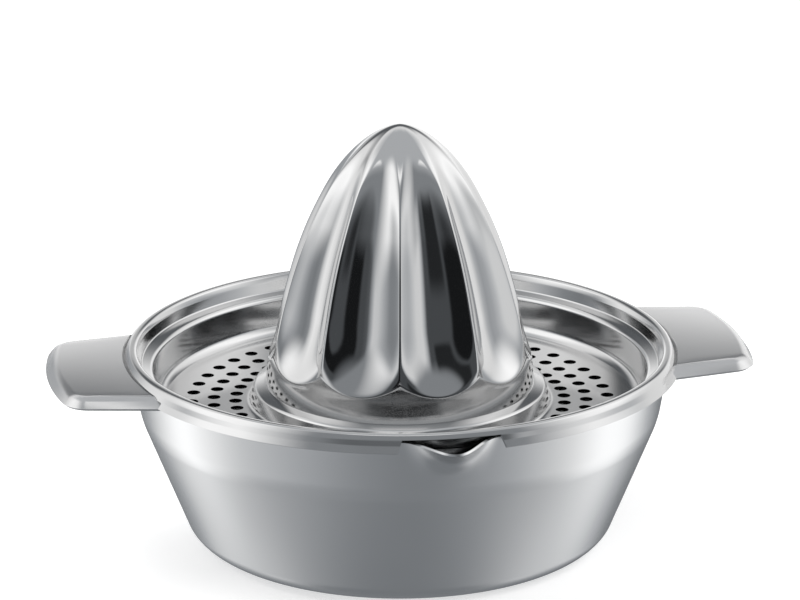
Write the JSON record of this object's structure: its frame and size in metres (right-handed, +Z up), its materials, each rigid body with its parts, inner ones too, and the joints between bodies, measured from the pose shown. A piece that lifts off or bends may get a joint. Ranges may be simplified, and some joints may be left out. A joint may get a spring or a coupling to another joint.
{
  "type": "citrus press",
  "caption": "Stainless citrus press: a fluted reamer cone on a perforated strainer with wing handles, which lifts out of a round spouted juice bowl.",
  "frame": {"origin": "centre of the bowl's flat base, on the surface that it stands on", "axes": "+Z up along the bowl's axis, +X through the right handle, -Y towards the pouring spout"},
  "size_m": [0.1728, 0.1416, 0.1035],
  "materials": {
    "bowl_steel": "satin brushed stainless steel, brushed round the bowl",
    "strainer_steel": "polished stainless steel",
    "cone_steel": "mirror-polished stainless steel",
    "handle_steel": "satin stainless steel"
  },
  "bodies": {
    "bowl": {"bowl": "bowl_steel"},
    "insert": {"strainer": "strainer_steel", "reamer_cone": "cone_steel", "handle_left": "handle_steel", "handle_right": "handle_steel"}
  },
  "joints": [
    {"name": "insert_lift", "type": "slide", "parent": "bowl", "child": "insert", "axis": [0, 0, 1], "range_m": [0, 0.06]}
  ]
}
